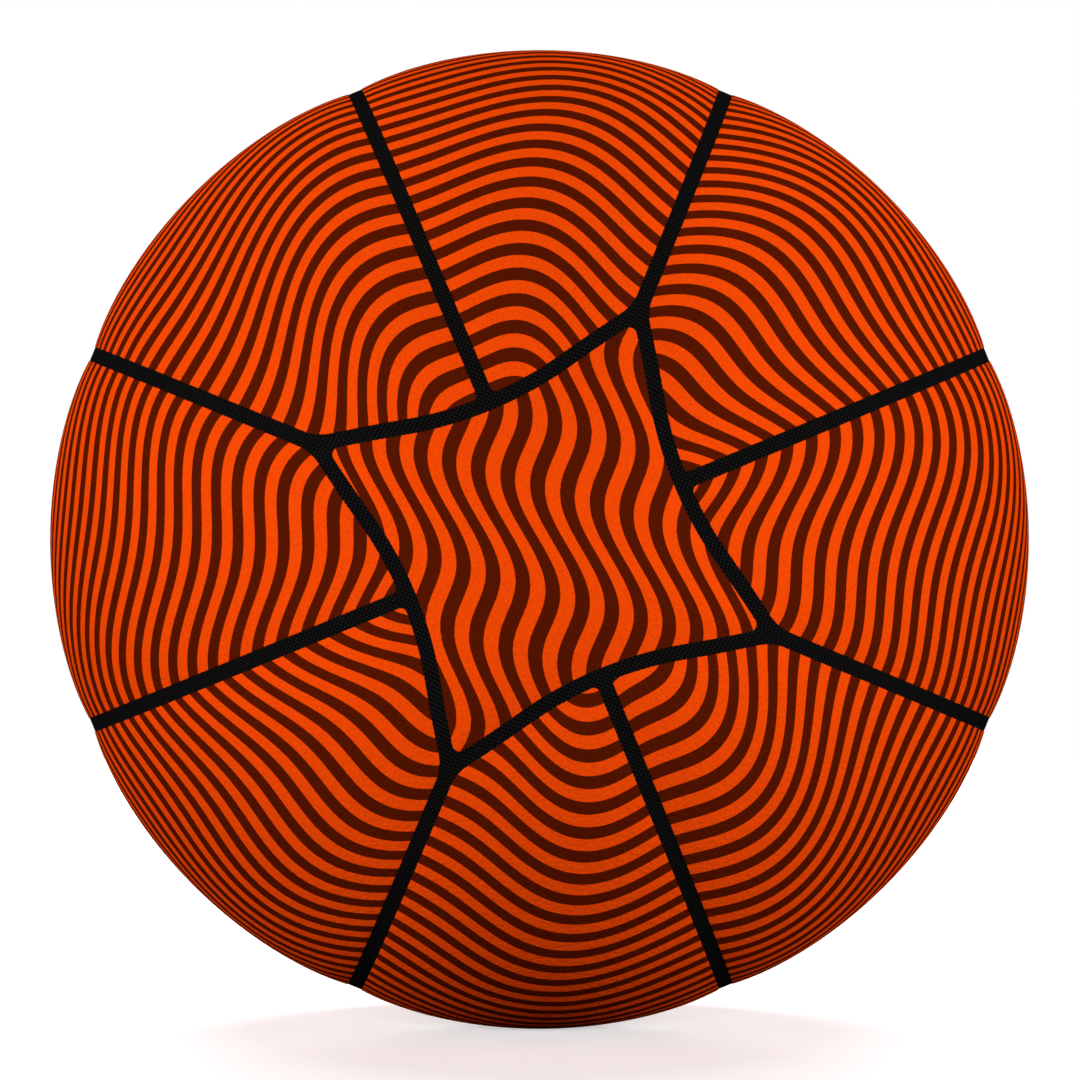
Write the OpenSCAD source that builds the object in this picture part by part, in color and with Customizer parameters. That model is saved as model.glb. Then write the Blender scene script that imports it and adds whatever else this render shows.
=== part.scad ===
// Basketball: ten cover panels on foam pads, laid between channel strips on a wound, inflated core.
// The origin is the ball's centre. The pattern has a front pole at -Y and a back pole at +Y,
// and each pole carries a four-pointed star cap. Eight side panels fill the space between the caps.

/* [Ball] */
// Outside diameter over the cover panels
ball_d = 238.5; // [200:0.5:250]

/* [Layers] */
// Thickness of the printed cover panels
cover_t = 1.5; // [1.2:0.1:2.5]
// Thickness of the foam pad under each cover panel
pad_t = 1.2; // [0.9:0.1:3]
// Wall of the moulded rubber carcass
carcass_t = 0.9; // [0.6:0.1:2]
// Thickness of the thread wound round the bladder
winding_t = 0.4; // [0.3:0.1:1]
// Wall of the bladder
bladder_t = 0.6; // [0.4:0.1:1.5]

/* [Channels] */
// Width of the channels between the panels
channel_w = 3.6; // [3:0.1:7]
// Depth of the channels' floor below the surface of the cover
channel_depth = 1.35; // [0.8:0.05:1.8]
// Width of the sloped shoulder along each panel's edge
shoulder_w = 0.5; // [0.2:0.1:1]
// Depth of that shoulder
shoulder_depth = 0.6; // [0.2:0.1:1]

/* [Star caps] */
// Angle from the pole to the star's corners, in degrees
corner_polar = 28.3; // [27:0.1:31]
// Angle from the pole to the T joint in the middle of each side of the star, in degrees
joint_polar = 16.2; // [15:0.1:17.5]
// Turn of the first T joint about the pole, seen from the front, in degrees
first_joint_turn = 22.5; // [-45:0.5:45]

/* [Valve] */
// Diameter of the valve's stem, which comes out through the back cap
stem_d = 9; // [8:0.5:12]
// Distance from the surface of the cover down to the top of the stem
stem_recess = 0.2; // [0:0.1:0.6]
// Diameter of the flange bonded inside the bladder
flange_d = 30; // [20:1:40]
// Thickness of that flange
flange_t = 1.2; // [0.8:0.1:2]
// Diameter of the barrel that hangs inside the bladder
barrel_d = 13; // [11:0.5:18]
// Length of that barrel, from the inside of the bladder
barrel_l = 11; // [9:0.5:16]
// Diameter of the core's shaft
core_d = 5.2; // [4.8:0.1:6]
// Diameter of the collar that locks the core in the barrel
collar_d = 7.4; // [6.6:0.1:9]
// Length of that collar
collar_l = 3; // [2:0.5:4]
// Distance from the barrel's inner end to the collar
collar_inset = 3; // [2:0.5:4]
// Diameter of the bore for the pump needle
needle_d = 2.5; // [2:0.1:3]
// Diameter of the funnel that leads the needle in
funnel_d = 4.2; // [3.4:0.1:4.6]
// Depth of that funnel
funnel_depth = 1.2; // [0.8:0.1:2]

/* [Hidden] */
$fn = 128;

// Radii of the layers, from the outside in
ball_r = ball_d / 2;
pad_r = ball_r - cover_t;
carcass_r = pad_r - pad_t;
winding_r = carcass_r - carcass_t;
bladder_r = winding_r - winding_t;
air_r = bladder_r - bladder_t;
floor_r = ball_r - channel_depth;

// Every cut runs past the surface that it cuts by this much
overrun = 1;
reach = ball_r + overrun;

// The pattern repeats in quarter turns: a T joint, then a corner of the star halfway to the next
CAP_SIDES = 4;
SECTORS = 2 * CAP_SIDES;
side_turn = 360 / CAP_SIDES;
sector_turn = 360 / SECTORS;

// Each side of the star is an arc of a circle on the ball, through two corners and a T joint.
// bay_polar is the angle from the pole to the circle's centre, bay_radius its angular radius.
bay_polar = atan2(cos(joint_polar) - cos(corner_polar),
    sin(corner_polar) * cos(sector_turn) - sin(joint_polar));
bay_radius = bay_polar - joint_polar;

// The turn about that centre from the middle of the side to a corner, and a wider one that a
// cut along the side takes, which ends in the next sector
corner_bearing = asin(sin(corner_polar) * sin(sector_turn) / sin(bay_radius));
side_sweep = (corner_bearing + 90) / 2;

// A blank for a star runs past its corners by this angle
corner_overrun = 3;
blank_polar = corner_polar + corner_overrun;
// A blank for a side piece starts at this distance from the polar axis, inside the star
pole_clearance = carcass_r * sin(joint_polar) / 2;
// A cut that takes a whole star, or the bay between two of its corners, is this wide, and goes
// down to cut_low, inside the ball's hollow
star_reach = reach * sin(blank_polar);
bay_reach = reach * sin(blank_polar - joint_polar);
cut_low_share = 0.75;
cut_low = cut_low_share * reach;

function numbered(stem, count) = [for (i = [1 : count]) str(stem, i)];

cover_colour = [0.92, 0.28, 0.03];
channel_colour = [0.08, 0.07, 0.07];
pad_colour = [0.62, 0.60, 0.55];
carcass_colour = [0.16, 0.15, 0.15];
thread_colour = [0.86, 0.84, 0.78];
bladder_colour = [0.10, 0.10, 0.11];
valve_colour = [0.12, 0.12, 0.12];
core_colour = [0.05, 0.05, 0.05];

// Frames

// From the pattern's own frame, with its front pole up, to the ball's frame
module pattern_frame() {
    rotate([90, 0, 0]) children();
}

// In the pattern's frame: the back cap, as the front cap mirrored through the ball's waist
module at_back() {
    mirror([0, 0, 1]) children();
}

// At both caps
module at_both_caps() {
    children();
    at_back() children();
}

// The valve's axis points up here, and out through the back pole
module valve_frame() {
    rotate([-90, 0, 0]) children();
}

// Blanks of a layer, made by turning its section about the polar axis

module layer_section(outer_r, inner_r) {
    difference() {
        circle(outer_r);
        circle(inner_r);
    }
}

// The layer between two meridians, centred on +X
module sector_blank(outer_r, inner_r) {
    rotate([0, 0, -sector_turn / 2])
        rotate_extrude(angle = sector_turn)
            intersection() {
                layer_section(outer_r, inner_r);
                translate([pole_clearance, -reach]) square([reach, 2 * reach]);
            }
}

// The layer round the front pole, out past the star's corners
module cap_blank(outer_r, inner_r) {
    rotate_extrude()
        intersection() {
            layer_section(outer_r, inner_r);
            polygon([[0, 0], [reach * tan(blank_polar), reach], [0, reach]]);
        }
}

module whole_blank(outer_r, inner_r) {
    difference() {
        sphere(outer_r);
        sphere(inner_r);
    }
}

// Cross-sections of a channel: width across, distance from the ball's centre upwards

module strip_section() {
    translate([-channel_w / 2, carcass_r]) square([channel_w, floor_r - carcass_r]);
}

module pad_gap() {
    translate([-channel_w / 2, carcass_r - overrun])
        square([channel_w, pad_r - carcass_r + 2 * overrun]);
}

module cover_gap() {
    half_w = channel_w / 2;
    mouth = half_w + shoulder_w * (shoulder_depth + overrun) / shoulder_depth;
    polygon([
        [-half_w, pad_r - overrun], [half_w, pad_r - overrun],
        [half_w, ball_r - shoulder_depth], [mouth, reach],
        [-mouth, reach], [-half_w, ball_r - shoulder_depth]
    ]);
}

// A gap with all that lies on the star's side of it, or on the bay's side

module with_star() {
    children();
    translate([0, cut_low]) square([star_reach, reach - cut_low]);
}

module with_bay() {
    children();
    translate([-bay_reach, cut_low]) square([bay_reach, reach - cut_low]);
}

// Runs of a channel, which sweep the cross-section that they are given

// Along one side of the front star, centred on +X
module side_run() {
    rotate([0, bay_polar, 0])
        rotate([0, 0, 180 - side_sweep])
            rotate_extrude(angle = 2 * side_sweep) rotate(-bay_radius) children();
}

// Along the meridian on +X, between the same angle from the front pole and from the back pole
module meridian_run(from_polar) {
    rotate([90, 0, 0])
        rotate([0, 0, from_polar - 90])
            rotate_extrude(angle = 180 - 2 * from_polar) rotate(-90) children();
}

// Pieces of a layer, cut along the pattern by the gap that they are given

// The piece between two meridians, centred on +X. Its T joints are on the edge at joint_edge,
// which is 1 for the edge towards +Y and -1 for the other one.
module side_piece(outer_r, inner_r, joint_edge) {
    difference() {
        difference() {
            sector_blank(outer_r, inner_r);
            for (edge = [-1, 1])
                rotate([0, 0, edge * sector_turn / 2]) meridian_run(joint_polar / 2) children();
        }
        rotate([0, 0, joint_edge * sector_turn / 2])
            at_both_caps() side_run() with_star() children();
    }
}

// The front star, with the middle of a side on +X
module cap_piece(outer_r, inner_r) {
    difference() {
        cap_blank(outer_r, inner_r);
        for (i = [0 : CAP_SIDES - 1])
            rotate([0, 0, i * side_turn]) side_run() with_bay() children();
    }
}

// Places in the pattern, counted from 1

module at_sector(i) {
    pattern_frame() rotate([0, 0, first_joint_turn + (i - 1.5) * sector_turn]) children();
}

module at_meridian(i) {
    pattern_frame() rotate([0, 0, first_joint_turn + (i - 1) * sector_turn]) children();
}

module at_side(i) {
    pattern_frame() rotate([0, 0, first_joint_turn + (i - 1) * side_turn]) children();
}

// The odd meridians end in T joints and the odd sectors have them on their far edge
function is_odd(i) = i % 2 == 1;

// Cover

module side_panel(i) {
    color(cover_colour)
        at_sector(i)
            side_piece(ball_r, pad_r, is_odd(i) ? 1 : -1) cover_gap();
}

module cap_panel_front() {
    color(cover_colour)
        at_side(1) cap_piece(ball_r, pad_r) cover_gap();
}

module cap_panel_back() {
    color(cover_colour)
        difference() {
            at_side(1) at_back() cap_piece(ball_r, pad_r) cover_gap();
            stem_hole();
        }
}

// Foam pads

module side_pad(i) {
    color(pad_colour)
        at_sector(i)
            side_piece(pad_r, carcass_r, is_odd(i) ? 1 : -1) pad_gap();
}

module cap_pad_front() {
    color(pad_colour)
        at_side(1) cap_piece(pad_r, carcass_r) pad_gap();
}

module cap_pad_back() {
    color(pad_colour)
        difference() {
            at_side(1) at_back() cap_piece(pad_r, carcass_r) pad_gap();
            stem_hole();
        }
}

// Channel strips

// A run along one side of the front star, mitred at the corners
module mitred_side() {
    intersection() {
        side_run() children();
        rotate([0, 0, -side_turn / 2])
            rotate_extrude(angle = side_turn) square([reach, reach]);
    }
}

// The strip along a meridian that ends in T joints, butted against the strips of both caps
module joint_strip() {
    difference() {
        meridian_run(joint_polar) strip_section();
        at_both_caps() side_run() pad_gap();
    }
}

// The strip along a meridian that ends at corners, notched for the mitred ends it meets
module corner_strip() {
    difference() {
        difference() {
            meridian_run(corner_polar) strip_section();
            rotate([0, 0, -side_turn / 2]) at_both_caps() mitred_side() pad_gap();
        }
        rotate([0, 0, side_turn / 2]) at_both_caps() mitred_side() pad_gap();
    }
}

module long_channel(i) {
    color(channel_colour)
        at_meridian(i)
            if (is_odd(i)) joint_strip();
            else corner_strip();
}

module front_cap_channel(i) {
    color(channel_colour) at_side(i) mitred_side() strip_section();
}

module back_cap_channel(i) {
    color(channel_colour) at_side(i) at_back() mitred_side() strip_section();
}

// Core

// A whole layer of the core, with the hole for the valve's stem
module core_layer(outer_r, inner_r) {
    difference() {
        whole_blank(outer_r, inner_r);
        stem_hole();
    }
}

module carcass() {
    color(carcass_colour) core_layer(carcass_r, winding_r);
}

module thread_winding() {
    color(thread_colour) core_layer(winding_r, bladder_r);
}

module bladder() {
    color(bladder_colour) core_layer(bladder_r, air_r);
}

// Valve, drawn with its axis upwards

barrel_end = air_r - barrel_l;
collar_start = barrel_end + collar_inset;
stem_top = ball_r - stem_recess;

module stem_hole() {
    valve_frame() cylinder(h = reach, d = stem_d);
}

// The core's outside, which is the housing's inside: a shaft with a collar
module core_body(low, high) {
    translate([0, 0, low]) cylinder(h = high - low, d = core_d);
    translate([0, 0, collar_start]) cylinder(h = collar_l, d = collar_d);
}

module valve_housing() {
    color(valve_colour)
        valve_frame()
            difference() {
                union() {
                    translate([0, 0, barrel_end])
                        cylinder(h = stem_top - barrel_end, d = stem_d);
                    intersection() {
                        union() {
                            translate([0, 0, barrel_end])
                                cylinder(h = reach - barrel_end, d = barrel_d);
                            intersection() {
                                whole_blank(reach, air_r - flange_t);
                                cylinder(h = reach, d = flange_d);
                            }
                        }
                        sphere(air_r);
                    }
                }
                core_body(barrel_end - overrun, stem_top + overrun);
            }
}

module valve_core() {
    color(core_colour)
        valve_frame()
            difference() {
                core_body(barrel_end, stem_top);
                translate([0, 0, barrel_end - overrun])
                    cylinder(h = reach - barrel_end, d = needle_d);
                funnel();
            }
}

// The funnel's cone, carried past the top of the core at the same slope
module funnel() {
    slope = (funnel_d - needle_d) / funnel_depth;
    translate([0, 0, stem_top - funnel_depth])
        cylinder(h = funnel_depth + overrun, d1 = needle_d, d2 = funnel_d + slope * overrun);
}

for (i = [1 : SECTORS]) {
    side_panel(i);
    side_pad(i);
    long_channel(i);
}
for (i = [1 : CAP_SIDES]) {
    front_cap_channel(i);
    back_cap_channel(i);
}
cap_panel_front();
cap_panel_back();
cap_pad_front();
cap_pad_back();
carcass();
thread_winding();
bladder();
valve_housing();
valve_core();
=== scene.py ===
# %% [markdown]
# # A striped basketball
# The imported model says where each piece of this ball lies. This lesson dresses that frame: the cover
# panels, the channel strips, the foam and the valve are modelled again with finer edges, and every
# piece gets a finish made of shader nodes. First we load the frame.

# %% Load the frame
import math

import bmesh
import bpy
from mathutils import Matrix, Vector
from mathutils.kdtree import KDTree


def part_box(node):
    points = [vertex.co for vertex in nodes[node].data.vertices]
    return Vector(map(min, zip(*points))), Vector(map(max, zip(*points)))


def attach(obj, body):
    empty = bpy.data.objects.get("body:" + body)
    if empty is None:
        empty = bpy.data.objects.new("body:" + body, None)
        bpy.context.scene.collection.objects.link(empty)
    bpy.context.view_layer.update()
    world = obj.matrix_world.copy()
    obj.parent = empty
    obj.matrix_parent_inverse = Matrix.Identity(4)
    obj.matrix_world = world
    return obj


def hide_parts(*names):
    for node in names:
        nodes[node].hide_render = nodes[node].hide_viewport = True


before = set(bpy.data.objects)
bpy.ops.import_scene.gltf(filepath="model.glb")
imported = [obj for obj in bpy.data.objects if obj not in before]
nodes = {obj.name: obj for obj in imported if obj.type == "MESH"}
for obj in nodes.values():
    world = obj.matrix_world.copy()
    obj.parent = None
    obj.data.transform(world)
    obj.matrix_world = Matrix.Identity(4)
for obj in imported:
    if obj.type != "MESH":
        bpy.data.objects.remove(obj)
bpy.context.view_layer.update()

# %% [markdown]
# A ball is all spheres about one centre, so the radii of its layers say nearly everything. We could
# type them in, but then the scene would drift when the part changes. Each one is read from a node: the
# farthest or nearest corner of its mesh from the centre.

# %% Radii of the layers
MM = 0.001


def farthest(node):
    return max(v.co.length for v in nodes[node].data.vertices)


BALL_R = farthest("side_panel_1")
PAD_R = farthest("side_pad_1")
FLOOR_R = farthest("long_channel_1")
CARCASS_R = farthest("carcass")
AIR_R = min(v.co.length for v in nodes["bladder"].data.vertices)
print(f"ball {BALL_R / MM:.2f}, pads {PAD_R / MM:.2f}, channel floor {FLOOR_R / MM:.2f} mm in radius")
print(f"carcass {CARCASS_R / MM:.2f}, inside of the bladder {AIR_R / MM:.2f} mm in radius")

# %% [markdown]
# The photograph is a product shot taken from far away with a long lens, level with the ball's middle.
# The ball's outline is 489.5 pixels in radius in a frame of 1080. How far away the camera stood can
# only be judged from the stripes: if they are evenly spaced from the middle of the ball to its rim, it
# was 7 to 12 ball radii away, and with 11 the channels fall into place too. The pattern's pole sits 6
# pixels right of the middle, so the camera stands a little to the left of the ball's axis. The lens
# follows from those numbers, and a small shift of the picture puts the ball's middle where it belongs.

# %% Camera
PHOTO_PX = 1080
OUTLINE_PX = 489.5
MIDDLE_PX = 539.5
DISTANCE_IN_RADII = 11
POLE_TURN = math.radians(0.61)
SENSOR = 36

distance = DISTANCE_IN_RADII * BALL_R
half_view = math.tan(math.asin(BALL_R / distance)) * (PHOTO_PX / 2) / OUTLINE_PX
camera_data = bpy.data.cameras.new("camera")
camera_data.sensor_width = SENSOR
camera_data.lens = SENSOR / 2 / half_view
shift = (PHOTO_PX / 2 - MIDDLE_PX) / PHOTO_PX
camera_data.shift_x, camera_data.shift_y = shift, -shift
camera = bpy.data.objects.new("camera", camera_data)
camera.location = (-distance * math.sin(POLE_TURN), -distance * math.cos(POLE_TURN), 0)
camera.rotation_euler = (-camera.location).to_track_quat("-Z", "Y").to_euler()
bpy.context.scene.collection.objects.link(camera)
bpy.context.scene.camera = camera
print(f"camera {distance:.3f} m away with a lens of {camera_data.lens:.1f} mm")

# %% [markdown]
# The pattern is drawn on the ball with two angles: how far a point is from the front pole, and how far
# it is turned about that pole, counter-clockwise as the camera sees it. On a sphere every edge we need
# is part of a circle, and a circle is just a pole and an angle: all directions within that angle of the
# pole are inside it. A channel's straight edge is a circle too, nearly 90 degrees wide. With that one
# idea we can inset an edge, find where two edges meet, and round the corner between them exactly.

# %% Circles on the ball
QUARTER = math.pi / 2


def on_ball(polar, turn):
    return Vector((math.sin(polar) * math.cos(turn), -math.cos(polar), math.sin(polar) * math.sin(turn)))


def through_waist(direction):
    return Vector((direction.x, -direction.y, direction.z))


def inset(circle, length):
    return circle[0], circle[1] - length / BALL_R


def meeting(first, second, near):
    """Where two circles cross. Of the two places, the one nearer to a direction."""
    (p, a), (q, b) = first, second
    c = p.dot(q)
    flat = (p * (math.cos(a) - c * math.cos(b)) + q * (math.cos(b) - c * math.cos(a))) / (1 - c * c)
    rise = p.cross(q) * math.sqrt((1 - flat.length_squared) / (1 - c * c))
    return max(flat + rise, flat - rise, key=near.dot)


def foot(circle, direction):
    """The place on a circle that is nearest to a direction."""
    pole, angle = circle
    aside = (direction - pole * direction.dot(pole)).normalized()
    return pole * math.cos(angle) + aside * math.sin(angle)


def arc(circle, start, end, steps):
    """Directions along a circle, the short way round from start to end."""
    pole = circle[0]
    a, b = (d - pole * d.dot(pole) for d in (start, end))
    swing = math.copysign(a.angle(b), pole.dot(a.cross(b)))
    return [Matrix.Rotation(swing * i / steps, 3, pole) @ start for i in range(steps + 1)]


def rounded_corner(first, second, radius, near, steps):
    centre = meeting(inset(first, radius), inset(second, radius), near)
    return arc((centre, radius / BALL_R), foot(first, centre), foot(second, centre), steps)


right, up, front = Vector((1, 0, 0)), Vector((0, 0, 1)), Vector((0, -1, 0))
corner = rounded_corner((right, QUARTER), (up, QUARTER), MM, front, 4)
print("a rounded corner has", len(corner), "directions")

# %% [markdown]
# Eight meridians part the side panels. Four of them end in a T on a side of the star, and the other
# four run to its corners. Each side of the star is an arc about a point in the bay, and it leaves the
# arc along two straight legs to the corners. Only three angles had to be measured on the photograph,
# and the place where a leg touches its arc follows from them by the rule for a right-angled triangle
# on a sphere.

# %% The star and the meridians
JOINT_POLAR = math.radians(16.25)
CORNER_POLAR = math.radians(28.25)
ARC_RADIUS = math.radians(30.2)
FIRST_JOINT = math.radians(22.5)
SECTOR = math.radians(45)
SECTORS = 8
SIDES = 4

bay_polar = JOINT_POLAR + ARC_RADIUS
bay_to_corner = on_ball(bay_polar, 0).angle(on_ball(CORNER_POLAR, SECTOR))
corner_bearing = math.asin(math.sin(CORNER_POLAR) * math.sin(SECTOR) / math.sin(bay_to_corner))
touch_bearing = corner_bearing - math.acos(math.tan(ARC_RADIUS) / math.tan(bay_to_corner))


def meridian_turn(i):
    """The turn of meridian i, counted from 1. The odd ones end in T joints."""
    return FIRST_JOINT + (i - 1) * SECTOR


def sideways(turn):
    """The direction square to a meridian, towards larger turns."""
    return Vector((-math.sin(turn), 0, math.cos(turn)))


def bay_circle(turn):
    return on_ball(bay_polar, turn), ARC_RADIUS


def touch(turn, hand):
    """Where a side of the star leaves its arc, towards larger turns if hand is 1."""
    spin = Matrix.Rotation(touch_bearing, 3, on_ball(bay_polar, turn))
    joint = on_ball(JOINT_POLAR, turn)
    corner = on_ball(CORNER_POLAR, turn + hand * SECTOR)
    return max(spin @ joint, spin.inverted() @ joint, key=corner.dot)


def leg_circle(turn, hand):
    """The straight leg there, as the circle round everything on the bay's side of it."""
    place = touch(turn, hand)
    towards_bay = on_ball(bay_polar, turn)
    return (towards_bay - place * place.dot(towards_bay)).normalized(), QUARTER


print(f"a leg touches its arc {math.degrees(touch_bearing):.2f} degrees from the T joint")

# %% [markdown]
# A side panel is a long leaf between two meridians. Its outline is worked out for the front half and
# mirrored through the waist for the back half. All four corners are rounded, each as the photograph
# shows it, and each grid corner falls in the middle of a rounding so that no cell is pinched.

# %% Outline of a side panel
HALF_CHANNEL = 1.8 * MM
JOINT_ROUND = 1.3 * MM
OUTER_ROUND = 13 * MM
TIP_ROUND = 1.6 * MM
ROUND_STEPS = 4


def side_outline(i, edge, arc_steps, leg_steps, long_steps):
    """Front, joint and corner edges of side panel i, as lists of directions. They run at a distance,
    edge, from the middle of the channels. The joint edge ends in T joints, the other at corners."""
    hand = -1 if i % 2 else 1
    joint_turn = meridian_turn(i if i % 2 else i - 1)
    corner_turn = joint_turn + hand * SECTOR
    joint_side = inset((sideways(joint_turn) * hand, QUARTER), edge)
    corner_side = inset((sideways(corner_turn) * -hand, QUARTER), edge)
    bay = inset(bay_circle(joint_turn), edge)
    leg = inset(leg_circle(joint_turn, hand), edge)
    further_in = edge - HALF_CHANNEL
    near_joint, near_corner = on_ball(JOINT_POLAR, joint_turn), on_ball(CORNER_POLAR, corner_turn)
    steps = 2 * ROUND_STEPS
    at_joint = rounded_corner(joint_side, bay, JOINT_ROUND - further_in, near_joint, steps)
    at_corner = rounded_corner(leg, corner_side, OUTER_ROUND - further_in, near_corner, steps)
    leaving = foot(bay, touch(joint_turn, hand))
    front = at_joint[ROUND_STEPS:-1] + arc(bay, at_joint[-1], leaving, arc_steps)[:-1]
    front += arc(leg, leaving, at_corner[0], leg_steps)[:-1] + at_corner[: ROUND_STEPS + 1]

    def down_to_waist_and_on(rounding, side):
        middle = arc(side, rounding[-1], through_waist(rounding[-1]), long_steps)
        return rounding[:-1] + middle + [through_waist(d) for d in reversed(rounding[:-1])]

    joint_edge = down_to_waist_and_on(at_joint[ROUND_STEPS::-1], joint_side)
    corner_edge = down_to_waist_and_on(at_corner[ROUND_STEPS:], corner_side)
    return front, joint_edge, corner_edge


front, joint_edge, corner_edge = side_outline(1, HALF_CHANNEL, arc_steps=8, leg_steps=6, long_steps=40)
print("side panel: a front edge of", len(front), "directions and long edges of", len(joint_edge))

# %% [markdown]
# Inside the outline we need a regular grid, because a sheet of even cells shades smoothly and can carry
# the print. Each row runs straight from one long edge to the other, and the rows near the ends are bowed
# as the end is. That is a Coons patch: two blends added and their common part taken away.

# %% A grid between four edges


def shares(edge):
    """How far along an edge each of its directions lies, from 0 to 1."""
    steps = [0.0] + [a.angle(b) for a, b in zip(edge, edge[1:])]
    return [sum(steps[: i + 1]) / sum(steps) for i in range(len(edge))]


def rows_between(front, low, high):
    """Rows of directions from the front edge to its mirror image at the back."""
    across, along = shares(front), shares(low)
    rows = []
    for a, b, v in zip(low, high, along):
        row = []
        for end, u in zip(front, across):
            bow = end - front[0].lerp(front[-1], u)
            row.append((a.lerp(b, u) + bow * (1 - v) + through_waist(bow) * v).normalized())
        rows.append(row)
    return rows


rows = rows_between(front, joint_edge, corner_edge)
print("a grid of", len(rows), "rows of", len(rows[0]))

# %% [markdown]
# A star cap could be a grid too, but the back one has a hole for the valve, so both are made of rings:
# from a small circle, or from the pole itself, out to the star's outline. The outline is seen from the
# star's side, so each circle is turned inside out: the opposite pole, and what is left of 180 degrees.

# %% Outline and rings of a star cap


def turned_out(circle):
    return -circle[0], math.pi - circle[1]


def star_outline(edge, arc_steps, leg_steps):
    """Directions once round the front star, at a distance, edge, from the middle of its channels."""
    radius = TIP_ROUND - (edge - HALF_CHANNEL)
    outline = []
    for i in range(SIDES):
        turn = FIRST_JOINT + i * 2 * SECTOR
        bay = inset(turned_out(bay_circle(turn)), edge)
        first_leg = inset(turned_out(leg_circle(turn, -1)), edge)
        last_leg = inset(turned_out(leg_circle(turn, 1)), edge)
        leg_before = inset(turned_out(leg_circle(turn - 2 * SECTOR, 1)), edge)
        leg_after = inset(turned_out(leg_circle(turn + 2 * SECTOR, -1)), edge)
        first_tip, last_tip = on_ball(CORNER_POLAR, turn - SECTOR), on_ball(CORNER_POLAR, turn + SECTOR)
        before = rounded_corner(leg_before, first_leg, radius, first_tip, 2 * ROUND_STEPS)
        after = rounded_corner(last_leg, leg_after, radius, last_tip, 2 * ROUND_STEPS)
        low, high = foot(bay, touch(turn, -1)), foot(bay, touch(turn, 1))
        outline += arc(first_leg, before[-1], low, leg_steps)[:-1]
        outline += arc(bay, low, high, arc_steps)[:-1]
        outline += arc(last_leg, high, after[0], leg_steps)[:-1] + after[:-1]
    return outline + outline[:1]


def rings_inside(outline, hole, steps):
    """Rings of directions from the circle at an angle from the pole out to the outline."""
    front_pole = on_ball(0, 0)
    rings = []
    for i in range(steps + 1):
        polars = [hole + (front_pole.angle(d) - hole) * i / steps for d in outline]
        rings.append([on_ball(p, math.atan2(d.z, d.x)) for p, d in zip(polars, outline)])
    return rings


star = star_outline(HALF_CHANNEL, arc_steps=16, leg_steps=6)
print("star: an outline of", len(star) - 1, "directions")

# %% [markdown]
# Look along the outline of the ball in the photograph: it dips at every seam, and the dip begins a
# good centimetre away. Each panel is a very flat cushion. So a sheet is not quite part of a sphere: near
# the seam it sinks, most at its edge and less and less away from it. How far a corner of the mesh is
# from the seam is a question for a KD-tree that holds many places on the outline.

# %% From directions to a cushioned sheet
WALL = 0.15 * MM
SEAM_SINK = BALL_R - FLOOR_R - WALL
SEAM_REACH = 10 * MM
PLACES_PER_STEP = 6
SAME_PLACE = 0.0001 * MM


def seam_finder(edges):
    """A KD-tree of many places on the edges, at the ball's full radius."""
    steps = [pair for edge in edges for pair in zip(edge, edge[1:])]
    tree = KDTree(len(steps) * PLACES_PER_STEP)
    for a, b in steps:
        for k in range(PLACES_PER_STEP):
            tree.insert(a.lerp(b, k / PLACES_PER_STEP) * BALL_R, k)
    tree.balance()
    return tree


def sink(direction, seam):
    distance = seam.find(direction * BALL_R)[2]
    return SEAM_SINK * math.exp(-distance / SEAM_REACH)


def sheet(rows, radius, seam=None):
    """A grid over rows of directions, on a sphere of that radius or sunk below it near a seam."""
    bm = bmesh.new()
    bmesh.ops.create_grid(bm, x_segments=len(rows[0]) - 1, y_segments=len(rows) - 1, size=BALL_R)
    for vert, direction in zip(bm.verts, [d for row in rows for d in row]):
        vert.co = direction * (radius - (sink(direction, seam) if seam else 0))
    bmesh.ops.remove_doubles(bm, verts=bm.verts, dist=SAME_PLACE)
    return bm


seam = seam_finder([front, joint_edge, corner_edge])
depth = sink(on_ball(QUARTER, 0), seam)
print(f"the middle of a side panel lies {depth / MM:.3f} mm below the full sphere")

# %% [markdown]
# Now the sheet becomes a panel. Its border is extruded outwards and down, ring by ring: first a tiny
# rounded shoulder, then the wall, and last the underside, which is a copy of the sheet. Merging the
# doubles closes the piece. The wall stops just above the wings of the strips, which reach under its
# foot. A number on each corner, 0 on top and 1 underneath, will tell the shader where the wall is.

# %% From sheet to panel
SHOULDER = 0.12 * MM
SHOULDER_STEPS = 3
FITTING_GAP = 0.01 * MM


def shoulder_rings(size):
    """How far out and how far down each ring of a rounded rim lies."""
    turns = [QUARTER * k / SHOULDER_STEPS for k in range(1, SHOULDER_STEPS + 1)]
    return [(size * math.sin(t), size * (1 - math.cos(t))) for t in turns]


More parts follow.
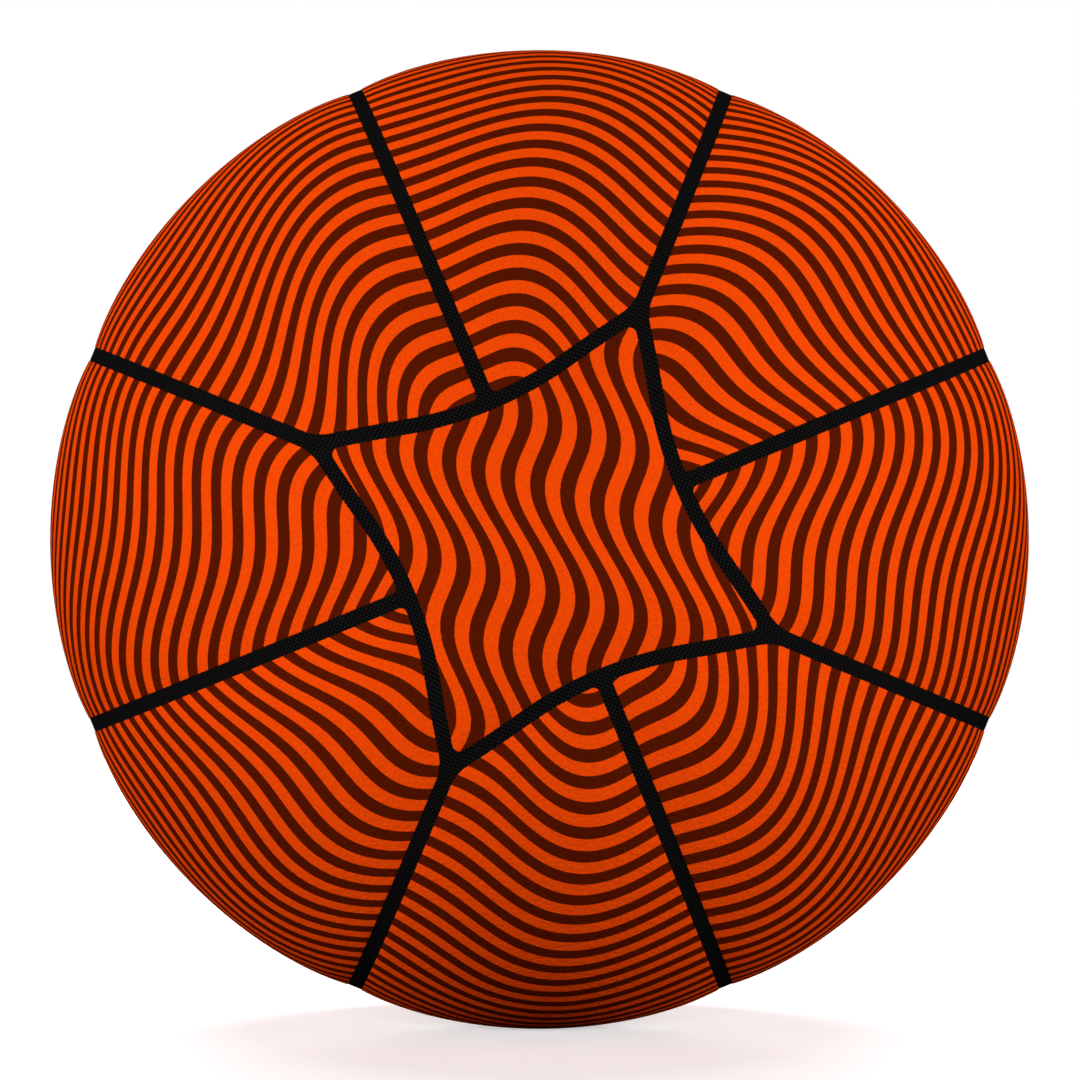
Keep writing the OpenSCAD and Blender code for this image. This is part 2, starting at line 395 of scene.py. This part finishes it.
def close_with_rim(bm, shoulder, underside):
    """Gives a sheet its rim and its underside, and so makes it a closed solid."""
    wall = bm.verts.layers.float.new("wall")
    border = [e for e in bm.edges if e.is_boundary]
    paths = {}
    for vert in {v for e in border for v in e.verts}:
        a, b = (e.other_vert(vert).co for e in vert.link_edges if e.is_boundary)
        out = (a - b).cross(vert.co).normalized()
        inwards = sum((f.calc_center_median() - vert.co for f in vert.link_faces), Vector())
        paths[vert] = (vert.co.copy(), -out if out.dot(inwards) > 0 else out)
    copy = bmesh.ops.duplicate(bm, geom=bm.faces[:])["geom"]
    for vert in (g for g in copy if isinstance(g, bmesh.types.BMVert)):
        vert.co = vert.co.normalized() * underside
        vert[wall] = 1
    for outwards, down in shoulder_rings(shoulder) + [(shoulder, math.inf), (0, math.inf)]:
        made = bmesh.ops.extrude_edge_only(bm, edges=border)["geom"]
        ring = {}
        for vert in (g for g in made if isinstance(g, bmesh.types.BMVert)):
            source = next(o for o in (e.other_vert(vert) for e in vert.link_edges) if o in paths)
            top, out = ring[vert] = paths[source]
            swing = outwards / top.length
            place = top.normalized() * math.cos(swing) + out * math.sin(swing)
            vert.co = place * max(top.length - down, underside)
            vert[wall] = 0 if down < math.inf else 1
        paths = ring
        new_edges = [g for g in made if isinstance(g, bmesh.types.BMEdge)]
        border = [e for e in new_edges if all(v in ring for v in e.verts)]
    bmesh.ops.remove_doubles(bm, verts=bm.verts, dist=SAME_PLACE)
    bmesh.ops.recalc_face_normals(bm, faces=bm.faces)


print("rim of", len(shoulder_rings(SHOULDER)) + 2, "rings")

# %% [markdown]
# Every finished bmesh is turned into an object in the same way. It stays at the origin, with its place
# in its mesh, rides on the ball's one body and stands for its node.

# %% From bmesh to piece
SHARP = math.radians(50)


def piece(name, bm, node, material):
    mesh = bpy.data.meshes.new(name)
    bm.to_mesh(mesh)
    bm.free()
    mesh.shade_smooth()
    mesh.set_sharp_from_angle(angle=SHARP)
    mesh.materials.append(material)
    made = bpy.data.objects.new(name, mesh)
    bpy.context.scene.collection.objects.link(made)
    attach(made, "root")
    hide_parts(node)
    return made


# %% [markdown]
# Shader nodes are easier to read when a small helper makes each one and takes its inputs by name. An
# input may be a number, a colour or the output of another node. Nearly all of this ball is matt: a
# gloss of 0 leaves the colours as deep at the rim as in the middle, as the photograph has them.

# %% Helpers for shader nodes


def new_material(name, roughness, gloss=0.0):
    material = bpy.data.materials.new(name)
    material.use_nodes = True
    shader = material.node_tree.nodes["Principled BSDF"]
    shader.inputs["Roughness"].default_value = roughness
    shader.inputs["Specular IOR Level"].default_value = gloss
    return material, shader


def add(material, kind, inputs=None, **settings):
    node = material.node_tree.nodes.new("ShaderNode" + kind)
    for key, value in settings.items():
        setattr(node, key, value)
    for key, value in (inputs or {}).items():
        if isinstance(value, bpy.types.NodeSocket):
            material.node_tree.links.new(value, node.inputs[key])
        else:
            node.inputs[key].default_value = value
    return node


def maths(material, operation, *values):
    node = add(material, "Math", dict(enumerate(values)), operation=operation)
    return node.outputs[0]


def blend(material, share, first, second):
    """A colour between two, by a share that may be a number or a node's output."""
    node = add(material, "Mix", data_type="RGBA")
    for place, value in ((0, share), (6, first), (7, second)):
        if isinstance(value, bpy.types.NodeSocket):
            material.node_tree.links.new(value, node.inputs[place])
        else:
            node.inputs[place].default_value = value
    return node.outputs[2]


def stepped(material, value, low, high):
    """0 below low, 1 above high, and smooth between them."""
    ends = {"Value": value, "From Min": low, "From Max": high}
    return add(material, "MapRange", ends, interpolation_type="SMOOTHSTEP").outputs["Result"]


def rough_surface(material, shader, height, depth):
    """Bends the surface's light by a height from 0 to 1, which is that many metres deep."""
    bump = add(material, "Bump", {"Height": height, "Distance": depth})
    material.node_tree.links.new(bump.outputs["Normal"], shader.inputs["Normal"])


def linear(red, green, blue):
    """A colour as the eye reads it in the photograph, from 0 to 255, in Blender's linear values."""
    values = [c / 255 for c in (red, green, blue)]
    return [c / 12.92 if c < 0.04 else ((c + 0.055) / 1.055) ** 2.4 for c in values] + [1]


print("middle grey in linear values:", [round(c, 3) for c in linear(128, 128, 128)])

# %% [markdown]
# The cover is thin moulded rubber with a two-colour print: orange and brown stripes of equal width with
# hard edges. The stripes bend over the panel, so a flat texture would slide about. Instead each corner
# of the mesh will carry one number, how many stripes in it lies. In the shader that number swings to and
# fro between 0 and a half, and where it is above a quarter the ink is brown. Towards the foot of the
# wall the print is painted black, painted shade down in the channel. Fine pebbles, and faint dark
# specks in the ink, come from cells and noise in object coordinates.

# %% Printed cover
ORANGE = linear(240, 72, 5)
BROWN = linear(84, 21, 1)
BLACK = linear(20, 17, 16)
PEBBLE = 0.9 * MM
PEBBLE_DEPTH = 0.1 * MM
PEBBLE_FOOT, PEBBLE_TOP = 0.75, 0.1
SPECK = 0.5 * MM
SPECK_SHADE = 0.14
SPECK_BEGINS, SPECK_FULL = 0.45, 0.65
HALF_STRIPE = 0.5
INK_SOFTNESS = 0.012
# Where on the wall the painted shade begins, and where it is full black.
PRINT_ENDS, WALL_SHADE_FULL = 0.05, 0.2


def grain(material, pitch, detail=2.0):
    place = add(material, "TexCoord").outputs["Object"]
    noise = add(material, "TexNoise", {"Vector": place, "Scale": 1 / pitch, "Detail": detail})
    return noise.outputs["Fac"]


def pebbles(material, pitch):
    """Heights of rounded pebbles: 1 where a cell's own point is near, 0 where it is far."""
    place = add(material, "TexCoord").outputs["Object"]
    cells = add(material, "TexVoronoi", {"Vector": place, "Scale": 1 / pitch}, feature="SMOOTH_F1")
    return stepped(material, cells.outputs["Distance"], PEBBLE_FOOT, PEBBLE_TOP)


def printed_cover():
    material, shader = new_material("printed_cover", 0.62)
    count = add(material, "Attribute", attribute_name="stripe").outputs["Fac"]
    wave = maths(material, "PINGPONG", count, HALF_STRIPE)
    brown = stepped(material, wave, HALF_STRIPE / 2 - INK_SOFTNESS, HALF_STRIPE / 2 + INK_SOFTNESS)
    ink = blend(material, brown, ORANGE, BROWN)
    specks = stepped(material, grain(material, SPECK), SPECK_BEGINS, SPECK_FULL)
    ink = blend(material, maths(material, "MULTIPLY", specks, SPECK_SHADE), ink, BLACK)
    # Painted shade: towards the foot of the wall the print is painted black, as shade down in the
    # channel.
    wall = add(material, "Attribute", attribute_name="wall").outputs["Fac"]
    ink = blend(material, stepped(material, wall, PRINT_ENDS, WALL_SHADE_FULL), ink, BLACK)
    material.node_tree.links.new(ink, shader.inputs["Base Color"])
    rough_surface(material, shader, pebbles(material, PEBBLE), PEBBLE_DEPTH)
    return material


cover_material = printed_cover()
print("printed cover:", len(cover_material.node_tree.nodes), "nodes")

# %% [markdown]
# The waves of the print are laid out per panel, as a printer lays out a plate. On one panel the stripes
# fall away from the front star, from the panel's low turn to its high one, and on the next they come
# back, so that they zigzag round the ball. On the way they bend once out and once in, more at the waist
# than near a star. Each panel starts its bend sooner than the panel before it, and the bends drift
# sideways between star and waist. All of this is counted in stripes.

# %% How the stripes run on the side panels
STRIPE = math.radians(3.25)
NEAR_STAR = math.radians(27)
NEAR_WAIST = math.radians(62)
FALL = 2.4
BEND = 0.55
BEND_GROWTH = 0.9
BEND_LEAD = math.radians(80)
BEND_DRIFT = math.radians(70)


def flow(i, across, change):
    """How far from the front star the print of panel i is moved, in stripes, at a share of the way
    across the panel. The change from a star's bends to the waist's is 0 near the star, 1 at the waist."""
    fall = FALL if i % 2 else -FALL
    bend = BEND * (1 + BEND_GROWTH * change)
    angle = 2 * math.pi * across + i * BEND_LEAD + change * BEND_DRIFT
    return fall * (across - 0.5) + bend * math.sin(angle)


def side_stripe(i, direction):
    """How many stripes in a direction lies on side panel i."""
    polar = direction.angle(on_ball(0, 0))
    turn = math.atan2(direction.z, direction.x) - (i - 1) * SECTOR
    across = ((turn + math.pi) % (2 * math.pi) - math.pi) / SECTOR + 0.5
    change = min((min(polar, math.pi - polar) - NEAR_STAR) / (NEAR_WAIST - NEAR_STAR), 1)
    return polar / STRIPE - flow(i, across, change)


print("the stripes at the middle of panel 2 are moved by", round(flow(2, 0.5, 0), 2))

# %% [markdown]
# On the star caps the stripes run upwards instead and sway from side to side, and each sway starts a
# little lower than the one to its left. Two waves do it: a sway, and a longer swell that makes the
# bends uneven, as if a hand had drawn them.

# %% How the stripes run on the caps
CAP_STRIPE = math.radians(3.2)
CAP_LEAN = -0.1
CAP_FALL = 0.3
SWAY = math.radians(1.5)
SWAY_LENGTH = math.radians(18)
SWELL = math.radians(0.7)
SWELL_LENGTH = math.radians(46.8)


def cap_stripe(direction):
    """How many stripes in a direction lies on a cap."""
    polar = math.acos(min(abs(direction.y), 1))
    turn = math.atan2(direction.z, direction.x)
    right, up = polar * math.cos(turn), polar * math.sin(turn)
    height = up + CAP_FALL * right
    sway = SWAY * math.sin(2 * math.pi * height / SWAY_LENGTH)
    swell = SWELL * math.sin(2 * math.pi * height / SWELL_LENGTH)
    return (right - CAP_LEAN * height + sway + swell) / CAP_STRIPE


def mark_stripes(bm, count):
    layer = bm.verts.layers.float.new("stripe")
    for vert in bm.verts:
        vert[layer] = count(vert.co.normalized())


print("stripes across a cap:", round(2 * CORNER_POLAR / CAP_STRIPE, 1))

# %% [markdown]
# With all of that in place, the ten cover panels are two short loops. Their cells are about 2 mm wide,
# which is fine enough for the waves of the print and leaves each mesh light.

# %% Cover panels
EDGE = HALF_CHANNEL + SHOULDER
UNDERSIDE = FLOOR_R + FITTING_GAP
VALVE_HOLE = 4.55 * MM


def back(rows):
    return [[through_waist(d) for d in row] for row in rows]


covers = []
for i in range(1, SECTORS + 1):
    front, joint_edge, corner_edge = side_outline(i, EDGE, arc_steps=18, leg_steps=12, long_steps=130)
    seam = seam_finder([front, joint_edge, corner_edge] + back([front]))
    bm = sheet(rows_between(front, joint_edge, corner_edge), BALL_R, seam)
    close_with_rim(bm, SHOULDER, UNDERSIDE)
    mark_stripes(bm, lambda direction: side_stripe(i, direction))
    covers.append(piece(f"cover_side_{i}", bm, f"side_panel_{i}", cover_material))

star = star_outline(EDGE, arc_steps=22, leg_steps=9)
rim_hole = (VALVE_HOLE + SHOULDER) / BALL_R
caps = {
    "front": rings_inside(star, hole=0, steps=18),
    "back": back(rings_inside(star, hole=rim_hole, steps=16)),
}
for where, rings in caps.items():
    bm = sheet(rings, BALL_R, seam_finder(rings[-1:]))
    close_with_rim(bm, SHOULDER, UNDERSIDE)
    mark_stripes(bm, cap_stripe)
    cap = piece(f"cover_cap_{where}", bm, f"cap_panel_{where}", cover_material)
    covers.append(cap)
for cover in covers[:1] + covers[-2:]:
    print(cover.name, len(cover.data.polygons), "faces")

# %% [markdown]
# The channel strips are soft black rubber laid between the panels. What shows is a flat floor 1.35 mm
# down. Each strip is a band with two thin wings, which reach under the panels' feet and close the
# rounded corners, and a keel between the foam pads. A band is a grid too: seven lines at fixed distances
# from the channel's middle. How far along and across the channel each corner of the mesh lies is kept
# on the mesh for the rubber's weave.

# %% Strips from bands of lines
WING = 3.4 * MM
KEEL = 0.9 * MM
WING_T = 0.13 * MM
OFFSETS = (-WING, -HALF_CHANNEL, -KEEL, 0, KEEL, HALF_CHANNEL, WING)


def run(line):
    """How far along a line each of its directions lies, counted from its middle."""
    length = sum(a.angle(b) for a, b in zip(line, line[1:])) * FLOOR_R
    return [(share - 0.5) * length for share in shares(line)]


def strip(name, lines, node, material):
    """A strip from its lines, which run side by side at the OFFSETS from the channel's middle."""
    bm = sheet(list(zip(*lines)), FLOOR_R)
    across = bm.verts.layers.float.new("across")
    along = bm.verts.layers.float.new("along")
    places = [place for row in zip(*map(run, lines)) for place in zip(OFFSETS, row)]
    for vert, (offset, place) in zip(bm.verts, places):
        vert[across] = offset
        vert[along] = place
    under = bmesh.ops.extrude_face_region(bm, geom=bm.faces[:])["geom"]
    for vert in (g for g in under if isinstance(g, bmesh.types.BMVert)):
        in_keel = abs(vert[across]) < (KEEL + HALF_CHANNEL) / 2
        vert.co = vert.co.normalized() * (CARCASS_R + FITTING_GAP if in_keel else FLOOR_R - WING_T)
    bmesh.ops.recalc_face_normals(bm, faces=bm.faces)
    return piece(name, bm, node, material)


def beside(circle, offset):
    """The circle at a distance from a channel's middle, towards its pole."""
    return circle[0], circle[1] - offset / BALL_R


def long_lines(i, steps):
    """Lines of the strip along meridian i, butted at both ends against the strips of the caps."""
    turn = meridian_turn(i)
    lines = []
    for offset in OFFSETS:
        if i % 2:
            end, near = bay_circle(turn), on_ball(JOINT_POLAR, turn)
        else:
            hand = -1 if offset > 0 else 1
            end, near = leg_circle(turn - hand * SECTOR, hand), on_ball(CORNER_POLAR, turn)
        line = beside((sideways(turn), QUARTER), offset)
        start = meeting(line, beside(end, WING), near)
        lines.append(arc(line, start, through_waist(start), steps))
    return lines


def cap_lines(i, leg_steps, arc_steps):
    """Lines of the strip along side i of the front star, mitred at both corners."""
    turn = FIRST_JOINT + (i - 1) * 2 * SECTOR
    lines = []
    for offset in OFFSETS:
        bay = beside(bay_circle(turn), offset)
        low, high = foot(bay, touch(turn, -1)), foot(bay, touch(turn, 1))
        line = []
        for hand, place in ((-1, low), (1, high)):
            corner_turn = turn + hand * SECTOR
            leg = beside(leg_circle(turn, hand), offset)
            tip = meeting(leg, (sideways(corner_turn), QUARTER), on_ball(CORNER_POLAR, corner_turn))
            line.append(arc(leg, tip, place, leg_steps))
        lines.append(line[0] + arc(bay, low, high, arc_steps)[1:-1] + line[1][::-1])
    return lines


print("lines at", [round(offset / MM, 1) for offset in OFFSETS], "mm from a channel's middle")

# %% [markdown]
# The floor of a channel has a fine woven grip. Two sets of ridges cross: one is a sine of along, the
# other a sine of across, and where both rise or both fall there is a small bump. So the bumps lie like
# the dark squares of a chessboard, 0.6 mm wide. Their tops are painted paler, a painted highlight, and
# the gaps between them darker, painted shade.

# %% Channel rubber
WEAVE = 0.6 * MM
WEAVE_DEPTH = 0.06 * MM
RUBBER_DARK = linear(10, 9, 9)
RUBBER_LIT_TOPS = linear(31, 30, 30)


def channel_rubber():
    material, shader = new_material("channel_rubber", 0.55)
    ridges = []
    for way in ("along", "across"):
        place = add(material, "Attribute", attribute_name=way).outputs["Fac"]
        ridges.append(maths(material, "SINE", maths(material, "MULTIPLY", place, math.pi / WEAVE)))
    bumps = stepped(material, maths(material, "MULTIPLY", *ridges), 0, 1)
    # Painted highlight and shade: the bumps are painted paler and the gaps between them darker.
    colour = blend(material, bumps, RUBBER_DARK, RUBBER_LIT_TOPS)
    material.node_tree.links.new(colour, shader.inputs["Base Color"])
    rough_surface(material, shader, bumps, WEAVE_DEPTH)
    return material


channel_material = channel_rubber()
for i in range(1, SECTORS + 1):
    strip(f"channel_long_{i}", long_lines(i, steps=150), f"long_channel_{i}", channel_material)
for i in range(1, SIDES + 1):
    lines = cap_lines(i, leg_steps=10, arc_steps=24)
    strip(f"channel_front_{i}", lines, f"front_cap_channel_{i}", channel_material)
    strip(f"channel_back_{i}", back(lines), f"back_cap_channel_{i}", channel_material)
print("strips:", SECTORS + 2 * SIDES)

# %% [markdown]
# A foam pad lies under each panel and gives the ball its soft grip. It is the panel's outline again, a
# little smaller, between the carcass and the cover, with rounded edges where the foam is pressed.

# %% Foam pads
FOAM_EDGE = 2.1 * MM
FOAM_ROUND = 0.4 * MM
FOAM_CELL = 0.5 * MM
FOAM_PALE, FOAM_DARK = linear(214, 206, 186), linear(176, 166, 144)


def foam():
    material, shader = new_material("foam", 0.9)
    cells = pebbles(material, FOAM_CELL)
    colour = blend(material, cells, FOAM_DARK, FOAM_PALE)
    material.node_tree.links.new(colour, shader.inputs["Base Color"])
    rough_surface(material, shader, cells, FOAM_CELL / 4)
    return material


foam_material = foam()
foam_edge = FOAM_EDGE + FOAM_ROUND
pads = {}
for i in range(1, SECTORS + 1):
    edges = side_outline(i, foam_edge, arc_steps=8, leg_steps=6, long_steps=60)
    pads[f"side_pad_{i}"] = rows_between(*edges)
star = star_outline(foam_edge, arc_steps=14, leg_steps=6)
foam_hole = (VALVE_HOLE + FOAM_ROUND) / PAD_R
pads["cap_pad_front"] = rings_inside(star, hole=0, steps=10)
pads["cap_pad_back"] = back(rings_inside(star, hole=foam_hole, steps=9))
for node, rows in pads.items():
    bm = sheet(rows, PAD_R)
    close_with_rim(bm, FOAM_ROUND, CARCASS_R + FITTING_GAP)
    piece(f"foam_{node}", bm, node, foam_material)
print("foam pads:", len(pads))

# %% [markdown]
# The valve comes out through the back cap. Its soft housing is a stem with a flange bonded inside the
# bladder and a barrel below it, and the harder core is pushed in from outside until its collar snaps
# into a groove. Both are turned shapes, so their half sections are spun about the valve's axis and the
# sharp edges are then bevelled.

# %% Turned rubber parts
TURN_STEPS = 96
RUBBER_EDGE = 0.25 * MM


def turned(section):
    """A solid from a closed half section, given as distances from the axis and heights along it."""
    bm = bmesh.new()
    verts = [bm.verts.new((r, y, 0)) for r, y in section]
    edges = [bm.edges.new(pair) for pair in zip(verts, verts[1:] + verts[:1])]
    bmesh.ops.spin(
        bm, geom=verts + edges, cent=(0, 0, 0), axis=(0, 1, 0), angle=2 * math.pi, steps=TURN_STEPS,
        use_merge=True,
    )
    bmesh.ops.recalc_face_normals(bm, faces=bm.faces)
    sharp = [e for e in bm.edges if len(e.link_faces) == 2 and e.calc_face_angle() > SHARP]
    bmesh.ops.bevel(
        bm, geom=sharp, offset=RUBBER_EDGE, segments=4, profile=0.5, affect="EDGES", material=-1,
        clamp_overlap=True,
    )
    return bm


STEM_R = 4.5 * MM
BARREL_R = 6.5 * MM
FLANGE_T = 1.2 * MM
CORE_R = 2.6 * MM
COLLAR_R = 3.7 * MM
COLLAR_INSET = 3 * MM
COLLAR_L = 3 * MM
NEEDLE_R = 1.25 * MM
FUNNEL_R = 2.1 * MM
FUNNEL_DEPTH = 1.2 * MM
FLANGE_STEPS = 6

low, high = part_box("valve_housing")
STEM_TOP, BARREL_END, FLANGE_R = high.y, low.y, high.x
collar_low = BARREL_END + COLLAR_INSET
collar_high = collar_low + COLLAR_L
print(f"valve: {(STEM_TOP - BARREL_END) / MM:.1f} mm long, flange {2 * FLANGE_R / MM:.0f} mm wide")

# %% [markdown]
# The flange lies against the round inside of the bladder, so its two faces are arcs of the ball's own
# circles. The rest of each section is straight lines between named sizes.

# %% Valve housing and core
SPECKLE = 0.35 * MM
SPECKLE_DEPTH = 0.02 * MM
SPECKLE_SHADE = 0.7


def on_layer(radius, distance):
    """The height at which a layer of that radius lies, at a distance from the valve's axis."""
    return math.sqrt(radius ** 2 - distance ** 2)


def ramp(start, end, steps):
    return [start + (end - start) * k / steps for k in range(steps + 1)]


def valve_rubber(name, shade, roughness):
    """Black rubber with fine speckles of a shade from 0 to 255, on a somewhat darker ground."""
    material, shader = new_material(name, roughness)
    speckle = grain(material, SPECKLE)
    colour = blend(material, speckle, linear(*[shade * SPECKLE_SHADE] * 3), linear(*[shade] * 3))
    material.node_tree.links.new(colour, shader.inputs["Base Color"])
    rough_surface(material, shader, speckle, SPECKLE_DEPTH)
    return material


bladder_side = AIR_R - FITTING_GAP
housing = [(CORE_R, STEM_TOP), (STEM_R, STEM_TOP)]
housing += [(r, on_layer(bladder_side, r)) for r in ramp(STEM_R, FLANGE_R, FLANGE_STEPS)]
housing += [(r, on_layer(bladder_side - FLANGE_T, r)) for r in ramp(FLANGE_R, BARREL_R, FLANGE_STEPS)]
housing += [(BARREL_R, BARREL_END), (CORE_R, BARREL_END), (CORE_R, collar_low), (COLLAR_R, collar_low)]
housing += [(COLLAR_R, collar_high), (CORE_R, collar_high)]
housing_material = valve_rubber("valve_rubber", 44, 0.5)
piece("valve_stem", turned(housing), "valve_housing", housing_material)

shaft, collar = CORE_R - FITTING_GAP, COLLAR_R - FITTING_GAP
core = [(NEEDLE_R, BARREL_END), (shaft, BARREL_END), (shaft, collar_low), (collar, collar_low)]
core += [(collar, collar_high), (shaft, collar_high), (shaft, STEM_TOP), (FUNNEL_R, STEM_TOP)]
core += [(NEEDLE_R, STEM_TOP - FUNNEL_DEPTH)]
core_material = valve_rubber("valve_core_rubber", 30, 0.4)
piece("valve_plug", turned(core), "valve_core", core_material)
print("valve: housing and core")

# %% [markdown]
# The carcass, the thread winding and the bladder keep their CAD shapes: they are plain shells, and the
# cover hides them. They still get their own finish, so that a cut through the ball looks right. Thread
# is wound every way round a bladder, and two slanted wave textures that bend each other give that look.

# %% Finishes of the hidden shells
MOTTLE = 2 * MM
MOTTLE_DEPTH = 0.1 * MM
THREADS = 4 * MM
THREADS_DEPTH = 0.15 * MM
THREAD_TILTS = (0.9, -0.7)
BLOOM = 6 * MM
BUTYL_GRAIN = 0.8 * MM
BUTYL_DEPTH = 0.02 * MM


def dress(node, material):
    slots = nodes[node].material_slots
    if not slots:
        nodes[node].data.materials.append(material)
    for slot in nodes[node].material_slots:
        slot.material = material


def carcass_rubber():
    material, shader = new_material("carcass_rubber", 0.7)
    mottle = grain(material, MOTTLE, detail=4.0)
    colour = blend(material, mottle, linear(30, 29, 28), linear(56, 53, 51))
    material.node_tree.links.new(colour, shader.inputs["Base Color"])
    rough_surface(material, shader, mottle, MOTTLE_DEPTH)
    return material


def wound_thread():
    material, shader = new_material("wound_thread", 0.75)
    place = add(material, "TexCoord").outputs["Object"]
    layers = []
    for tilt in THREAD_TILTS:
        turned_place = add(material, "Mapping", {"Vector": place, "Rotation": (tilt, tilt, 0)})
        bands = {"Vector": turned_place.outputs[0], "Scale": 1 / THREADS, "Distortion": 3.0}
        layers.append(add(material, "TexWave", bands).outputs["Fac"])
    height = maths(material, "MAXIMUM", *layers)
    colour = blend(material, height, linear(150, 142, 120), linear(224, 218, 200))
    material.node_tree.links.new(colour, shader.inputs["Base Color"])
    rough_surface(material, shader, height, THREADS_DEPTH)
    return material


def butyl():
    material, shader = new_material("butyl", 0.35, gloss=0.3)
    bloom = grain(material, BLOOM, detail=3.0)
    colour = blend(material, bloom, linear(22, 22, 24), linear(44, 44, 47))
    material.node_tree.links.new(colour, shader.inputs["Base Color"])
    rough_surface(material, shader, grain(material, BUTYL_GRAIN), BUTYL_DEPTH)
    return material


shells = {"carcass": carcass_rubber(), "thread_winding": wound_thread(), "bladder": butyl()}
for node, material in shells.items():
    dress(node, material)
    print(node, "dressed in", material.name)

# %% [markdown]
# The ball rests on a plain pale floor. For the camera the floor is bright enough to meet the white
# behind it without a line, yet it is still lit by the lamps, so that the ball's shadow stays on it. For
# light that bounces, the floor is a quieter grey, which keeps the underside of the ball dark.

# %% Floor and backdrop
FLOOR_SIZE = 1.6
FLOOR_BOUNCE = 0.08
FLOOR_WHITE = 0.9
FLOOR_GLOW = 0.55
BACKDROP_LIGHT = 0.08


def seen_directly(material_or_world):
    """1 for rays from the camera, and for those that a glossy or clear surface sends on."""
    path = add(material_or_world, "LightPath")
    total = path.outputs["Is Camera Ray"]
    for name in ("Is Glossy Ray", "Is Transmission Ray"):
        total = maths(material_or_world, "MAXIMUM", total, path.outputs[name])
    return total


def floor_finish():
    material = bpy.data.materials.new("pale_floor")
    material.use_nodes = True
    material.node_tree.nodes.remove(material.node_tree.nodes["Principled BSDF"])
    matt = add(material, "BsdfDiffuse", {"Color": [FLOOR_BOUNCE] * 3 + [1]})
    white = add(material, "BsdfDiffuse", {"Color": [FLOOR_WHITE] * 3 + [1]})
    glow = add(material, "Emission", {"Color": (1, 1, 1, 1), "Strength": FLOOR_GLOW})
    bright = add(material, "AddShader", {0: white.outputs[0], 1: glow.outputs[0]})
    chosen = {"Fac": seen_directly(material), 1: matt.outputs[0], 2: bright.outputs[0]}
    mix = add(material, "MixShader", chosen)
    output = material.node_tree.nodes["Material Output"]
    material.node_tree.links.new(mix.outputs[0], output.inputs["Surface"])
    return material


bm = bmesh.new()
bmesh.ops.create_grid(bm, x_segments=8, y_segments=8, size=FLOOR_SIZE)
bmesh.ops.translate(bm, vec=(0, 0, -BALL_R), verts=bm.verts)
floor_mesh = bpy.data.meshes.new("floor")
bm.to_mesh(floor_mesh)
bm.free()
floor_mesh.materials.append(floor_finish())
floor = bpy.data.objects.new("floor", floor_mesh)
bpy.context.scene.collection.objects.link(floor)

world = bpy.data.worlds.new("studio")
world.use_nodes = True
bpy.context.scene.world = world
background = world.node_tree.nodes["Background"]
background.inputs["Color"].default_value = (1, 1, 1, 1)
strength = add(world, "MapRange", {"Value": seen_directly(world), "To Min": BACKDROP_LIGHT})
world.node_tree.links.new(strength.outputs["Result"], background.inputs["Strength"])
print("floor", 2 * FLOOR_SIZE, "m wide")

# %% [markdown]
# The light in the photograph is soft and even all round the ball, and only its underside is dark. Long
# low soft boxes at about the level of the ball's middle give that: a strong one in front and one
# behind, weaker ones at the sides, and a pair high up at the back. Each one aims at the ball's middle
# and stays out of the picture. A lamp is placed by its turn about the upright axis from the camera's
# side, and by its rise above the level.

# %% Lamps
LAMP_W, LAMP_H = 1.4, 0.2
LAMP_DISTANCE = 2.6
LEVEL = 0
LOW = math.radians(7)
HIGH = math.radians(60)
LAMPS = (
    ("front", 0, LOW, 58), ("left", 90, LEVEL, 38), ("back", 180, LOW, 58), ("right", 270, LEVEL, 38),
    ("back_left", 135, HIGH, 20), ("back_right", 225, HIGH, 20),
)
for name, turn, rise, power in LAMPS:
    lamp_data = bpy.data.lights.new(name, "AREA")
    lamp_data.shape = "RECTANGLE"
    lamp_data.size = LAMP_W
    lamp_data.size_y = LAMP_H
    lamp_data.energy = power
    lamp = bpy.data.objects.new(name, lamp_data)
    place = Vector((0, -math.cos(rise), math.sin(rise))) * LAMP_DISTANCE
    place.rotate(Matrix.Rotation(-math.radians(turn), 3, "Z"))
    lamp.location = place
    lamp.rotation_euler = (-place).to_track_quat("-Z", "Y").to_euler()
    lamp.visible_camera = False
    bpy.context.scene.collection.objects.link(lamp)
    print(name, power, "W")
bpy.context.scene.view_settings.view_transform = "Standard"
